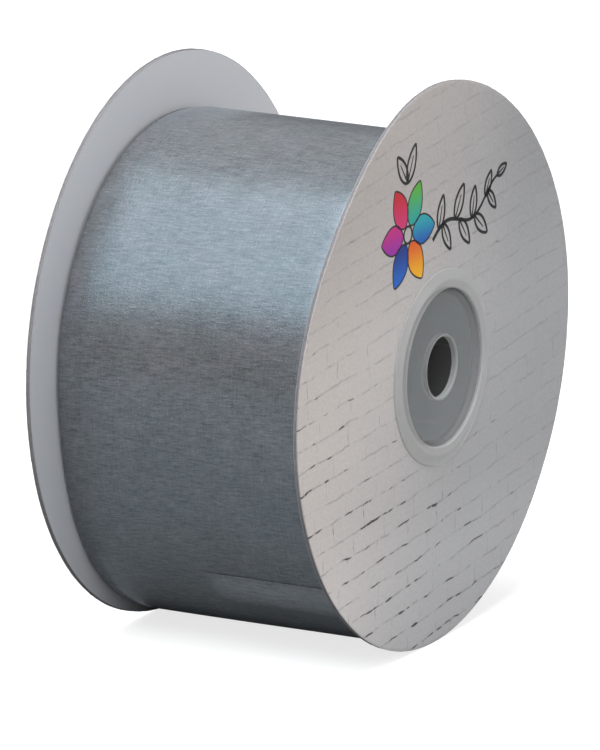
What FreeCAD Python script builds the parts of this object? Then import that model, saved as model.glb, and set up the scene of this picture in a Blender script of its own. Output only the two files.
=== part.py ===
"""Ribbon spool: wide sheer ribbon wound on a paper core between two printed card discs.

Frame: the origin is at the middle of the spool, on its axis. The axis runs along Y, the printed front disc
faces -Y and the rear disc +Y. +Z is up as the spool stands on the rims of its discs. Millimetres.

How it is built: a moulded plug is pressed into each end of the paper core tube. The plug's rim and the end
of the tube trap a card disc between them, and the disc can still turn on the plug's barrel. A disc is grey
board with printed paper outside and plain white paper inside, and it is dished: its flat middle stands out
a little beyond its edge. The ribbon starts on a strip of tape on the tube. Its last turn is slack: it rests
on the tight turns at the top, stands clear of them at the sides, hangs below in a belly, and ends in a free
tail that a dot of glue holds down.
"""
import FreeCAD, Part
import os
import Sketcher

SIZES = {
    # discs
    "disc_radius": 50.0,
    "disc_hole_radius": 14.1,
    "disc_gap": 51.65,           # free width between the two discs' edges
    "disc_seat_radius": 19.0,    # flat middle that the plug's rim and the tube's end trap
    "disc_dish": 1.15,           # how far that middle stands out beyond the disc's edge
    "board_thickness": 0.6,
    "print_thickness": 0.12,
    "liner_thickness": 0.08,
    "disc_play": 0.05,           # end play that lets a trapped disc turn
    # paper core and start tape
    "tube_radius": 16.0,
    "tape_thickness": 0.1,
    "tape_width": 40.0,
    "tape_half_angle": 18.0,
    # moulded plugs; heights are above the outer face of the disc's flat middle
    "bore_radius": 5.35,
    "barrel_radius": 14.04,
    "barrel_wall": 1.1,
    "barrel_depth": 13.0,
    "barrel_leadin": 0.5,        # taper at the barrel's end, into its radius
    "barrel_leadin_length": 1.5,
    "rim_radius": 17.3,
    "rim_edge_height": 0.3,
    "rim_crest_radius": 15.5,    # where the rim's slope would meet its flat top, before rounding
    "rim_inner_radius": 13.9,
    "rim_height": 0.95,
    "rim_round": 1.6,
    "rim_inner_round": 0.3,
    "web_height": 0.3,
    "web_thickness": 1.0,
    "bore_round": 0.3,
    "crush_rib_radius": 0.4,
    "crush_rib_bite": 0.14,      # how far a rib stands into the tube's bore
    "crush_rib_count": 6,
    "crush_rib_setback": 3.0,    # from the disc's outer face to where the ribs begin
    "crush_rib_end_gap": 2.0,    # from the ribs' other end to the end of the barrel
    "edge_round": 0.15,
    # ribbon
    "ribbon_width": 50.0,
    "ribbon_thickness": 0.25,
    "winding_inner_radius": 16.15,
    "winding_radius": 39.7,
    "turn_radius": 40.7,         # slack turn, over its upper half
    "turn_drop": 0.7,            # how far the middle of that half circle hangs below the axis
    "belly_drop": 48.9,          # from the axis to the lowest point of the belly
    "belly_arc_radius": 39.0,
    # free end of the ribbon, as angles below the horizontal about the centre of the belly's arc
    "tail_end_angle": 38.0,
    "tail_root_angle": 53.0,
    "tail_lift": 0.12,           # gap under the tail, filled by the glue dot
    "tack_radius": 3.0,
    "tack_clearance": 0.01,
    "tack_setback_angle": 5.0,   # from the free end to the middle of the dot
}

doc = FreeCAD.newDocument("ribbon_spool")


def make_sheet():
    """The spreadsheet of driving sizes; each value's alias is its name."""
    sheet = doc.addObject("Spreadsheet::Sheet", "Sizes")
    for row, (name, value) in enumerate(SIZES.items(), start=1):
        sheet.set(f"A{row}", name)
        sheet.set(f"B{row}", str(value))
        sheet.setAlias(f"B{row}", name)
    doc.recompute()
    return sheet


sheet = make_sheet()

# Places along the axis, as expressions on the sheet.
LINER_FACE = "Sizes.disc_gap / 2"
BOARD_FACE = f"{LINER_FACE} + Sizes.liner_thickness"
PRINT_FACE = f"{BOARD_FACE} + Sizes.board_thickness"
OUTER_SEAT_FACE = f"{PRINT_FACE} + Sizes.print_thickness + Sizes.disc_dish"
BELLY_CENTRE_DROP = "Sizes.belly_drop - Sizes.belly_arc_radius"
BARREL_INNER_RADIUS = "Sizes.barrel_radius - Sizes.barrel_wall"

FRONT, REAR = -1, 1
SIDES = {"front": FRONT, "rear": REAR}
ORIGIN_POINT, HORIZONTAL_AXIS, VERTICAL_AXIS = (-1, 1), -1, -2     # Sketcher's own numbers for these
START, END, CENTRE = 1, 2, 3                                      # points of a sketch line or arc


def value(expression):
    """The number that an expression on the sheet has now."""
    number = sheet.evalExpression(expression)
    return float(getattr(number, "Value", number))


def new_body(name):
    body = doc.addObject("PartDesign::Body", name)
    body.Label = name
    return body


def new_sketch(body, name, plane):
    """A sketch on one of the body's own origin planes, such as XZ_Plane."""
    sketch = body.newObject("Sketcher::SketchObject", name)
    support = [f for f in body.Origin.OriginFeatures if f.Role == plane][0]
    sketch.AttachmentSupport = [(support, "")]
    sketch.MapMode = "FlatFace"
    return sketch


def bind(sketch, kind, points, expression):
    """A dimension in the sketch whose size is an expression on the sheet."""
    index = sketch.addConstraint(Sketcher.Constraint(kind, *points, value(expression)))
    sketch.renameConstraint(index, f"size{index}")
    sketch.setExpression(f"Constraints.size{index}", expression)


def pad_midplane(body, sketch, length):
    """Pads the sketch to both sides of its plane, to a whole length given as an expression."""
    pad = body.newObject("PartDesign::Pad", "Pad")
    pad.Profile = sketch
    pad.SideType = "Symmetric"
    pad.setExpression("Length", length)
    body.Tip = pad
    sketch.Visibility = False
    return pad


def add_circle(sketch, radius):
    circle = sketch.addGeometry(Part.Circle(FreeCAD.Vector(), FreeCAD.Vector(0, 0, 1), value(radius)))
    sketch.addConstraint(Sketcher.Constraint("Coincident", circle, CENTRE, *ORIGIN_POINT))
    bind(sketch, "Radius", (circle,), radius)


def ring(name, outer_radius, inner_radius, length):
    """A long ring about the axis, with its middle at the origin."""
    body = new_body(name)
    sketch = new_sketch(body, "RingSketch", "XZ_Plane")
    add_circle(sketch, outer_radius)
    add_circle(sketch, inner_radius)
    pad_midplane(body, sketch, length)
    return body


def dished_ring(name, thickness, edge_face, side):
    """One layer of a disc: flat in the middle, then falling in a shallow cone back to the disc's edge.

    edge_face is how far the layer's inner face is from the origin at the disc's edge.
    """
    body = new_body(name)
    sketch = new_sketch(body, "DiscSketch", "XY_Plane")
    seat_face = f"{edge_face} + Sizes.disc_dish"
    add_outline(sketch, [
        ("Sizes.disc_hole_radius", seat_face),
        ("Sizes.disc_seat_radius", seat_face),
        ("Sizes.disc_radius", edge_face),
        ("Sizes.disc_radius", f"{edge_face} + {thickness}"),
        ("Sizes.disc_seat_radius", f"{seat_face} + {thickness}"),
        ("Sizes.disc_hole_radius", f"{seat_face} + {thickness}"),
    ])
    turn_full_circle(body, sketch)
    if side == FRONT:
        body.Placement.Rotation = FreeCAD.Rotation(FreeCAD.Vector(1, 0, 0), 180)
    return body


def make_disc(side_name, side):
    """One card disc: plain lining inside, grey board, printed paper outside."""
    layers = {
        "liner": ("Sizes.liner_thickness", LINER_FACE),
        "board": ("Sizes.board_thickness", BOARD_FACE),
        "print": ("Sizes.print_thickness", PRINT_FACE),
    }
    return [dished_ring(f"flange_{layer}_{side_name}", thickness, edge_face, side)
            for layer, (thickness, edge_face) in layers.items()]


def turn_full_circle(body, sketch):
    """Turns the sketch a whole turn about its own upright axis."""
    turned = body.newObject("PartDesign::Revolution", "Turned")
    turned.Profile = sketch
    turned.ReferenceAxis = (sketch, ["V_Axis"])
    turned.Angle = 360
    body.Tip = turned
    sketch.Visibility = False


def add_outline(sketch, corners):
    """A closed outline of straight edges; each corner is (across, up) as two expressions."""
    points = [FreeCAD.Vector(value(across), value(up), 0) for across, up in corners]
    lines = [sketch.addGeometry(Part.LineSegment(point, points[(i + 1) % len(points)]))
             for i, point in enumerate(points)]
    for i, line in enumerate(lines):
        next_line = lines[(i + 1) % len(lines)]
        sketch.addConstraint(Sketcher.Constraint("Coincident", line, END, next_line, START))
        across, up = corners[i]
        bind(sketch, "DistanceX", (*ORIGIN_POINT, line, START), across)
        bind(sketch, "DistanceY", (*ORIGIN_POINT, line, START), up)


def circle_edges(shape, places):
    """Names of the full circular edges at the given (radius, height) places about Z."""
    names = []
    for number, edge in enumerate(shape.Edges, start=1):
        if not isinstance(edge.Curve, Part.Circle) or not edge.Closed:
            continue
        for radius, height in places:
            if abs(edge.Curve.Radius - radius) < 1e-4 and abs(edge.Curve.Center.z - height) < 1e-4:
                names.append(f"Edge{number}")
    return names


def add_fillet(body, places, radius):
    """Rounds the circular edges at the given (radius, height) places, all named by expressions."""
    base = body.Tip
    edges = circle_edges(base.Shape, [(value(r), value(height)) for r, height in places])
    if len(edges) != len(places):
        raise RuntimeError(f"{body.Label}: {len(places)} edges to round, {len(edges)} found")
    fillet = body.newObject("PartDesign::Fillet", "Fillet")
    fillet.Base = (base, edges)
    fillet.setExpression("Radius", radius)
    body.Tip = fillet
    doc.recompute()


def make_plug(side_name, side):
    """A moulded plug: low rim outside the disc, recessed web with the spindle hole, barrel into the tube.

    It is drawn with its axis along its own Z, rising out of the spool, and Z zero at the outer face of the
    disc's flat middle.
    """
    body = new_body(f"hub_plug_{side_name}")
    web_under = "Sizes.web_height - Sizes.web_thickness"
    barrel_end = "-Sizes.barrel_depth"
    sketch = new_sketch(body, "PlugSketch", "XZ_Plane")
    add_outline(sketch, [
        ("Sizes.bore_radius", "Sizes.web_height"),
        ("Sizes.bore_radius", web_under),
        (BARREL_INNER_RADIUS, web_under),
        (BARREL_INNER_RADIUS, barrel_end),
        ("Sizes.barrel_radius - Sizes.barrel_leadin", barrel_end),
        ("Sizes.barrel_radius", f"{barrel_end} + Sizes.barrel_leadin_length"),
        ("Sizes.barrel_radius", "Sizes.disc_play"),
        ("Sizes.rim_radius", "Sizes.disc_play"),
        ("Sizes.rim_radius", "Sizes.rim_edge_height"),
        ("Sizes.rim_crest_radius", "Sizes.rim_height"),
        ("Sizes.rim_inner_radius", "Sizes.rim_height"),
        ("Sizes.rim_inner_radius", "Sizes.web_height"),
    ])
    turn_full_circle(body, sketch)
    doc.recompute()
    add_fillet(body, [("Sizes.rim_crest_radius", "Sizes.rim_height")], "Sizes.rim_round")
    add_fillet(body, [("Sizes.rim_inner_radius", "Sizes.rim_height")], "Sizes.rim_inner_round")
    add_fillet(body, [("Sizes.bore_radius", "Sizes.web_height")], "Sizes.bore_round")
    add_fillet(body, [
        ("Sizes.rim_radius", "Sizes.rim_edge_height"),
        ("Sizes.rim_inner_radius", "Sizes.web_height"),
    ], "Sizes.edge_round")
    add_crush_ribs(body)
    quarter_turn = 90 if side == FRONT else -90
    body.Placement.Rotation = FreeCAD.Rotation(FreeCAD.Vector(1, 0, 0), quarter_turn)
    sign = "-" if side == FRONT else ""
    body.setExpression("Placement.Base.y", f"{sign}({OUTER_SEAT_FACE})")
    return body


def add_crush_ribs(body):
    """Fine beads along the barrel that bite into the paper tube and hold the plug in."""
    plain_volume = body.Tip.Shape.Volume
    rib_centre = "Sizes.disc_hole_radius + Sizes.crush_rib_bite - Sizes.crush_rib_radius"
    sketch = new_sketch(body, "RibSketch", "XY_Plane")
    circle = sketch.addGeometry(Part.Circle(FreeCAD.Vector(value(rib_centre), 0, 0), FreeCAD.Vector(0, 0, 1),
                                            value("Sizes.crush_rib_radius")))
    bind(sketch, "Radius", (circle,), "Sizes.crush_rib_radius")
    sketch.addConstraint(Sketcher.Constraint("PointOnObject", circle, CENTRE, HORIZONTAL_AXIS))
    bind(sketch, "DistanceX", (*ORIGIN_POINT, circle, CENTRE), rib_centre)
    sketch.AttachmentOffset = FreeCAD.Placement(FreeCAD.Vector(0, 0, -value("Sizes.crush_rib_setback")),
                                                FreeCAD.Rotation())
    sketch.setExpression("AttachmentOffset.Base.z", "-Sizes.crush_rib_setback")
    rib = body.newObject("PartDesign::Pad", "CrushRib")
    rib.Profile = sketch
    rib.Reversed = True
    rib.setExpression("Length", "Sizes.barrel_depth - Sizes.crush_rib_setback - Sizes.crush_rib_end_gap")
    body.Tip = rib
    doc.recompute()
    pattern = body.newObject("PartDesign::PolarPattern", "CrushRibs")
    pattern.Originals = [rib]
    pattern.Axis = (sketch, ["N_Axis"])
    pattern.Angle = 360
    pattern.setExpression("Occurrences", "Sizes.crush_rib_count")
    body.Tip = pattern
    sketch.Visibility = False
    doc.recompute()
    if pattern.Shape.Volume <= rib.Shape.Volume or rib.Shape.Volume <= plain_volume:
        raise RuntimeError(f"{body.Label}: the crush ribs added nothing")


def flank_radius(turn_radius, belly_radius, centre_gap):
    """Radius of the arc that leaves the turn's half circle upright and runs smoothly into the belly's arc.

    centre_gap is how far the belly's centre lies below the half circle's.
    """
    return (turn_radius ** 2 + centre_gap ** 2 - belly_radius ** 2) / (2 * (turn_radius - belly_radius))


def add_slack_loop(sketch, inset):
    """The slack turn's outline, inset by an expression: half circle, two flanks and the belly's arc."""
    turn_radius = f"Sizes.turn_radius - {inset}"
    belly_radius = f"Sizes.belly_arc_radius - {inset}"
    turn, belly = value(turn_radius), value(belly_radius)
    turn_drop, belly_drop = value("Sizes.turn_drop"), value(BELLY_CENTRE_DROP)
    flank = flank_radius(turn, belly, belly_drop - turn_drop)
    up = FreeCAD.Vector(0, 0, 1)
    turn_centre, belly_centre = FreeCAD.Vector(0, -turn_drop, 0), FreeCAD.Vector(0, -belly_drop, 0)
    left_centre = FreeCAD.Vector(flank - turn, -turn_drop, 0)
    right_centre = FreeCAD.Vector(turn - flank, -turn_drop, 0)
    meet = left_centre + (belly_centre - left_centre).normalize() * flank
    meet_right = FreeCAD.Vector(-meet.x, meet.y, 0)

    def arc(centre, radius, begin, end):
        angles = []
        for point in (begin, end):
            spoke = point - centre
            angles.append(FreeCAD.Vector(1, 0, 0).getAngle(spoke) * (1 if spoke.y >= 0 else -1))
        return sketch.addGeometry(Part.ArcOfCircle(Part.Circle(centre, up, radius), *angles))

    left_point = FreeCAD.Vector(-turn, -turn_drop, 0)
    right_point = FreeCAD.Vector(turn, -turn_drop, 0)
    top = arc(turn_centre, turn, right_point, left_point)
    left = arc(left_centre, flank, left_point, meet)
    bottom = arc(belly_centre, belly, meet, meet_right)
    right = arc(right_centre, flank, meet_right, right_point)
    for first, second in ((top, left), (left, bottom), (bottom, right), (right, top)):
        sketch.addConstraint(Sketcher.Constraint("Tangent", first, END, second, START))
    sketch.addConstraint(Sketcher.Constraint("Horizontal", left, CENTRE, top, CENTRE))
    sketch.addConstraint(Sketcher.Constraint("Horizontal", right, CENTRE, top, CENTRE))
    sketch.addConstraint(Sketcher.Constraint("PointOnObject", top, CENTRE, VERTICAL_AXIS))
    sketch.addConstraint(Sketcher.Constraint("PointOnObject", bottom, CENTRE, VERTICAL_AXIS))
    bind(sketch, "Radius", (top,), turn_radius)
    bind(sketch, "Radius", (bottom,), belly_radius)
    bind(sketch, "DistanceY", (top, CENTRE, *ORIGIN_POINT), "Sizes.turn_drop")
    bind(sketch, "DistanceY", (bottom, CENTRE, *ORIGIN_POINT), BELLY_CENTRE_DROP)


def make_outer_turn():
    """The ribbon's slack last turn: resting on the tight turns at the top, hanging in a belly below."""
    body = new_body("ribbon_outer_turn")
    sketch = new_sketch(body, "LoopSketch", "XZ_Plane")
    add_slack_loop(sketch, "0")
    add_slack_loop(sketch, "Sizes.ribbon_thickness")
    pad_midplane(body, sketch, "Sizes.ribbon_width")
    return body


def strip(name, inner_radius, thickness, width, start_turn, span, centre_drop=None):
    """A curved strip about an axis along Y: start_turn and span are turns about +Y, counted from +X."""
    body = new_body(name)
    sketch = new_sketch(body, "StripSketch", "XY_Plane")
    outer_radius = f"{inner_radius} + {thickness}"
    add_outline(sketch, [
        (inner_radius, f"-{width} / 2"),
        (outer_radius, f"-{width} / 2"),
        (outer_radius, f"{width} / 2"),
        (inner_radius, f"{width} / 2"),
    ])
    turned = body.newObject("PartDesign::Revolution", "Turned")
    turned.Profile = sketch
    turned.ReferenceAxis = (sketch, ["V_Axis"])
    turned.setExpression("Angle", span)
    body.Tip = turned
    sketch.Visibility = False
    place_about_y(body, start_turn, centre_drop)
    return body


def place_about_y(part, turn, centre_drop=None):
    """Turns a part about +Y and, if centre_drop is given, sets its centre that far below the axis."""
    part.Placement.Rotation = FreeCAD.Rotation(FreeCAD.Vector(0, 1, 0), value(turn))
    part.setExpression("Placement.Rotation.Angle", turn)
    if centre_drop:
        part.setExpression("Placement.Base.z", f"-({centre_drop})")


def make_tail():
    """The ribbon's free end: a short flap lying just clear of the belly, hinged at its lower edge."""
    return strip("ribbon_tail", "Sizes.belly_arc_radius + Sizes.tail_lift", "Sizes.ribbon_thickness",
                 "Sizes.ribbon_width", "180 - Sizes.tail_root_angle",
                 "Sizes.tail_root_angle - Sizes.tail_end_angle", BELLY_CENTRE_DROP)


def make_core_tape():
    """The strip of tape on the tube that holds the ribbon's first end."""
    return strip("core_tape", "Sizes.tube_radius", "Sizes.tape_thickness", "Sizes.tape_width",
                 "270 - Sizes.tape_half_angle", "2 * Sizes.tape_half_angle")


def primitive_cylinder(name, radius, length, along_y=False):
    """A plain cylinder, along X from the origin, or along Y with its middle at the origin."""
    cylinder = doc.addObject("Part::Cylinder", name)
    cylinder.setExpression("Radius", radius)
    cylinder.setExpression("Height", length)
    if along_y:
        cylinder.Placement.Rotation = FreeCAD.Rotation(FreeCAD.Vector(1, 0, 0), -90)
        cylinder.setExpression("Placement.Base.y", f"-({length}) / 2")
    else:
        cylinder.Placement.Rotation = FreeCAD.Rotation(FreeCAD.Vector(0, 1, 0), 90)
    return cylinder


def make_tail_tack():
    """The dot of glue under the tail, as thin as the gap there and curved like the belly."""
    outer_radius = "Sizes.belly_arc_radius + Sizes.tail_lift - Sizes.tack_clearance"
    inner_radius = "Sizes.belly_arc_radius + Sizes.tack_clearance"
    shell_length = "3 * Sizes.tack_radius"          # anything longer than the dot is wide
    dot_reach = "Sizes.belly_arc_radius + Sizes.tack_radius"
    shell = doc.addObject("Part::Cut", "TackShell")
    shell.Base = primitive_cylinder("TackOuter", outer_radius, shell_length, along_y=True)
    shell.Tool = primitive_cylinder("TackInner", inner_radius, shell_length, along_y=True)
    tack = doc.addObject("Part::Common", "tail_tack")
    tack.Base = shell
    tack.Tool = primitive_cylinder("TackDot", "Sizes.tack_radius", dot_reach)
    tack.Label = "tail_tack"
    place_about_y(tack, "180 - Sizes.tail_end_angle - Sizes.tack_setback_angle", BELLY_CENTRE_DROP)
    return tack


def make_parts():
    parts = []
    for side_name, side in SIDES.items():
        parts += make_disc(side_name, side)
        parts.append(make_plug(side_name, side))
    parts.append(ring("core_tube", "Sizes.tube_radius", "Sizes.disc_hole_radius",
                      "Sizes.disc_gap + 2 * Sizes.disc_dish - 2 * Sizes.disc_play"))
    parts.append(make_core_tape())
    parts.append(ring("ribbon_winding", "Sizes.winding_radius", "Sizes.winding_inner_radius",
                      "Sizes.ribbon_width"))
    parts.append(make_outer_turn())
    parts.append(make_tail())
    parts.append(make_tail_tack())
    return parts


def check_and_write(parts):
    """Stops at any failed object or bad shape, then writes one STEP file for each sub-part."""
    doc.recompute()
    failed = [o.Name for o in doc.Objects if {"Invalid", "Error"} & set(o.State)]
    if failed:
        raise RuntimeError(f"failed objects: {failed}")
    for part in parts:
        shape = part.Shape
        if shape.isNull() or not shape.isValid() or len(shape.Solids) != 1 or shape.Volume <= 0:
            raise RuntimeError(f"bad shape: {part.Label}")
    os.makedirs("parts", exist_ok=True)
    for part in parts:
        part.Shape.exportStep(f"parts/{part.Label}.step")


check_and_write(make_parts())
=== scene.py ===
"""Looks for the ribbon spool: card discs with printed paper, milky plugs, slack silver-blue ribbon.

The frame's axis runs along Y, the printed front disc faces -Y and +Z is up. Metres.
"""
import math

import bpy
import numpy as np
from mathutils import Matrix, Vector, noise


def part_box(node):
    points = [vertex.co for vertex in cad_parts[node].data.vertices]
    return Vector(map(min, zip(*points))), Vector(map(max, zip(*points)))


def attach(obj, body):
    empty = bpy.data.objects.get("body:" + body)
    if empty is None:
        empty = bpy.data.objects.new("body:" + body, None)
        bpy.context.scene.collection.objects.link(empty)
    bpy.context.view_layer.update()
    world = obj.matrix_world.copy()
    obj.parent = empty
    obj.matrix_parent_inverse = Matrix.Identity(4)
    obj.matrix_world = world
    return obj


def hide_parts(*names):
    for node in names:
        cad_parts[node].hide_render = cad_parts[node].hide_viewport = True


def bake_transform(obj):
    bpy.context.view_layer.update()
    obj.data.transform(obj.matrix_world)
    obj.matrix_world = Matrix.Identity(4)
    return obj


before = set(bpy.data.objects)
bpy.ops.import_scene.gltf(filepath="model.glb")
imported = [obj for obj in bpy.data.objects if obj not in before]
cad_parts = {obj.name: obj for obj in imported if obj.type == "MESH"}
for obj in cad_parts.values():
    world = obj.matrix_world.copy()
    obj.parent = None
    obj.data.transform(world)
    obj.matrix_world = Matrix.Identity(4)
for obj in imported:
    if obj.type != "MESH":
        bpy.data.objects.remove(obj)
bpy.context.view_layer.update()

MM = 0.001

# ---------------------------------------------------------------- sizes, from the frame

DISC_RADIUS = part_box("flange_board_front")[1].z
TURN_LOW, TURN_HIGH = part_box("ribbon_outer_turn")
TURN_RADIUS = TURN_HIGH.x                     # slack turn, over its upper half
TURN_CENTRE = TURN_HIGH.z - TURN_RADIUS       # height of that half circle's middle
BELLY_ARC_RADIUS = 39 * MM
BELLY_CENTRE = TURN_LOW.z + BELLY_ARC_RADIUS
RIBBON_HALF_WIDTH = TURN_HIGH.y
WINDING_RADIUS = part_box("ribbon_winding")[1].z
HUB_HOLE_RADIUS = 14.1 * MM
LAYER_THICKNESS = {"liner": 0.08 * MM, "board": 0.6 * MM, "print": 0.12 * MM}
PRINT_LOW, PRINT_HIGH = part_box("flange_print_rear")
DISC_DISH = PRINT_HIGH.y - PRINT_LOW.y - LAYER_THICKNESS["print"]    # of its flat middle, beyond its edge
SEAT_RADIUS = 19 * MM                         # of that flat middle, which the plug holds


# ---------------------------------------------------------------- shader maths written as Python

MIX_FIRST, MIX_SECOND, MIX_RESULT = 6, 7, 2      # the colour sockets of a Mix node


class Field:
    """A number that varies over a surface. Arithmetic on it makes Math nodes."""

    def __init__(self, tree, socket):
        self.tree, self.socket = tree, socket

    def apply(self, operation, *others):
        """One Math node on this Field and the others."""
        node = self.tree.nodes.new("ShaderNodeMath")
        node.operation = operation
        for slot, value in enumerate((self, *others)):
            connect(self.tree, value, node.inputs[slot])
        return Field(self.tree, node.outputs[0])

    def __add__(self, other):
        return self.apply("ADD", other)

    def __sub__(self, other):
        return self.apply("SUBTRACT", other)

    def __mul__(self, other):
        return self.apply("MULTIPLY", other)

    def __truediv__(self, other):
        return self.apply("DIVIDE", other)

    __radd__, __rmul__ = __add__, __mul__

    def __rsub__(self, other):
        return self * -1 + other

    def step(self, low, high):
        """0 below low, 1 above high and smooth between; low may be the larger, which turns it round."""
        node = self.tree.nodes.new("ShaderNodeMapRange")
        node.interpolation_type = "SMOOTHSTEP"
        for name, value in (("Value", self), ("From Min", low), ("From Max", high)):
            connect(self.tree, value, node.inputs[name])
        return Field(self.tree, node.outputs["Result"])

    def gap_to_line(self, spacing):
        """Distance to the nearest of the lines that repeat at this spacing."""
        part = (self / spacing).apply("FRACT")
        return part.apply("MINIMUM", 1 - part) * spacing


def connect(tree, value, socket):
    """Links a Field or node socket into an input, or sets the input to a plain value."""
    if isinstance(value, Field):
        tree.links.new(value.socket, socket)
    elif isinstance(value, bpy.types.NodeSocket):
        tree.links.new(value, socket)
    elif isinstance(value, tuple) and len(value) == 3 and socket.type == "RGBA":
        socket.default_value = (*value, 1)
    else:
        socket.default_value = value


def hypot(a, b):
    """Distance from the origin of the place (a, b)."""
    return (a * a + b * b).apply("SQRT")


class Finish:
    """One material: a node tree with helpers for coordinates, noise, colours and the final surface."""

    def __init__(self, name):
        self.material = bpy.data.materials.new(name)
        self.material.use_nodes = True
        self.tree = self.material.node_tree
        self.surface = self.tree.nodes["Principled BSDF"]

    def new(self, kind, **inputs):
        """A node with these inputs, whose names have _ for a space."""
        node = self.tree.nodes.new(kind)
        for name, value in inputs.items():
            connect(self.tree, value, node.inputs[name.replace("_", " ")])
        return node

    def split(self, vector):
        """The three parts of a vector socket, as Fields."""
        node = self.new("ShaderNodeSeparateXYZ", Vector=vector)
        return [Field(self.tree, node.outputs[axis]) for axis in "XYZ"]

    def place(self):
        """Position on the object, in millimetres, as three Fields."""
        coordinates = self.new("ShaderNodeTexCoord").outputs["Object"]
        return [axis * (1 / MM) for axis in self.split(coordinates)]

    def cloth_place(self):
        """Distance along and across the ribbon and the layer, in millimetres, from the mesh."""
        node = self.new("ShaderNodeAttribute")
        node.attribute_name = "cloth"
        return [axis * (1 / MM) for axis in self.split(node.outputs["Vector"])]

    def mesh_value(self, name):
        """A value from 0 to 1 kept at the mesh's points, 0 on a mesh that has none of this name."""
        node = self.new("ShaderNodeAttribute")
        node.attribute_name = name
        return Field(self.tree, node.outputs["Fac"])

    def noise(self, x, y, z=0.0, detail=2.0, roughness=0.5):
        """Smooth noise, about 0.2 to 0.8, over the given coordinates; one unit is one feature."""
        vector = self.new("ShaderNodeCombineXYZ", X=x, Y=y, Z=z).outputs[0]
        node = self.new("ShaderNodeTexNoise", Vector=vector, Scale=1.0, Detail=detail, Roughness=roughness)
        return Field(self.tree, node.outputs[0])

    def mix(self, first, second, amount, blend="MIX"):
        """The first colour, with the second laid over it by an amount from 0 to 1."""
        node = self.new("ShaderNodeMix")
        node.data_type = "RGBA"
        node.blend_type = blend
        connect(self.tree, amount, node.inputs["Factor"])
        connect(self.tree, first, node.inputs[MIX_FIRST])
        connect(self.tree, second, node.inputs[MIX_SECOND])
        return node.outputs[MIX_RESULT]

    def scale_colour(self, colour, amount):
        """The colour made darker or lighter by a Field near 1."""
        grey = self.new("ShaderNodeCombineXYZ", X=amount, Y=amount, Z=amount).outputs[0]
        return self.mix(colour, grey, 1.0, blend="MULTIPLY")

    def bump(self, height, depth, strength=1.0):
        """Normal for a height Field of 0 to 1 that stands for depth metres."""
        node = self.new("ShaderNodeBump", Strength=strength, Distance=depth, Height=height)
        return node.outputs["Normal"]

    def finish(self, **inputs):
        """Sets the surface's inputs, whose names have _ for a space, and returns the material."""
        for name, value in inputs.items():
            connect(self.tree, value, self.surface.inputs[name.replace("_", " ")])
        return self.material


# ---------------------------------------------------------------- materials

BRICK_ROW = 4.0           # mm, height of a course
BRICK_LENGTH = 10.5       # mm
BRICK_STAGGER = 30.0      # mm, the most that a course is moved along
BRICK_TILT = math.radians(5.0)
JOINT_GREY = (0.25, 0.24, 0.245)
SMUDGE_GREY = (0.25, 0.24, 0.24)
SPECK_GREY = (0.30, 0.29, 0.29)
BRUSH_BLACK = (0.050, 0.046, 0.046)
# Paper in cool shade and in warm light: blending the two paints warm light up the near side
PAPER_COOL_SHADED, PAPER_WARM_LIT = (0.510, 0.508, 0.523), (0.715, 0.655, 0.625)


class Brickwork:
    """Places on wavering, tilted brickwork, in millimetres, and the numbers of its bricks and courses."""

    def __init__(self, f, x, z):
        across = x * math.cos(BRICK_TILT) + z * math.sin(BRICK_TILT)
        up = z * math.cos(BRICK_TILT) - x * math.sin(BRICK_TILT)
        across = across + (f.noise(x * 0.25, z * 0.25, 3.0) - 0.5) * 1.2
        slow_wave = (f.noise(x * 0.10, z * 0.14, 9.0) - 0.5) * 1.5
        quick_wave = (f.noise(x * 0.45, z * 0.4, 5.0) - 0.5) * 0.6
        up = up + slow_wave + quick_wave
        self.across, self.up = across, up
        self.bed = (up / BRICK_ROW + 0.5).apply("FLOOR")        # number of the nearest bed joint
        self.course = (up / BRICK_ROW).apply("FLOOR")
        staggered = across + f.noise(self.course * 3.7, 0.5, 2.0) * BRICK_STAGGER
        self.brick = (staggered / BRICK_LENGTH).apply("FLOOR")
        self.bed_gap = up.gap_to_line(BRICK_ROW)
        self.head_gap = staggered.gap_to_line(BRICK_LENGTH)
        self.fray = (f.noise(x * 5.5, z * 5.5, 8.0, detail=2) - 0.5) * 0.16


def faint_joints(f, wall):
    """How much of the grey joint shows, 0 to 1: bed joints that come and go, and some head joints."""
    seen = f.noise(wall.across * 0.20, wall.bed * 4.3, 21.0, detail=4, roughness=0.7).step(0.40, 0.58)
    width = 0.07 + 0.18 * f.noise(wall.across * 0.7, wall.bed * 2.1, 29.0, detail=2)
    beds = (width - wall.bed_gap + wall.fray).step(-0.16, 0.12) * seen
    seen = f.noise(wall.brick * 5.1, wall.course * 3.3, wall.up * 0.4 + 33.0, detail=0).step(0.50, 0.62)
    heads = (0.10 - wall.head_gap + wall.fray).step(-0.08, 0.08) * seen
    return beds.apply("MAXIMUM", heads)


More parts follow.
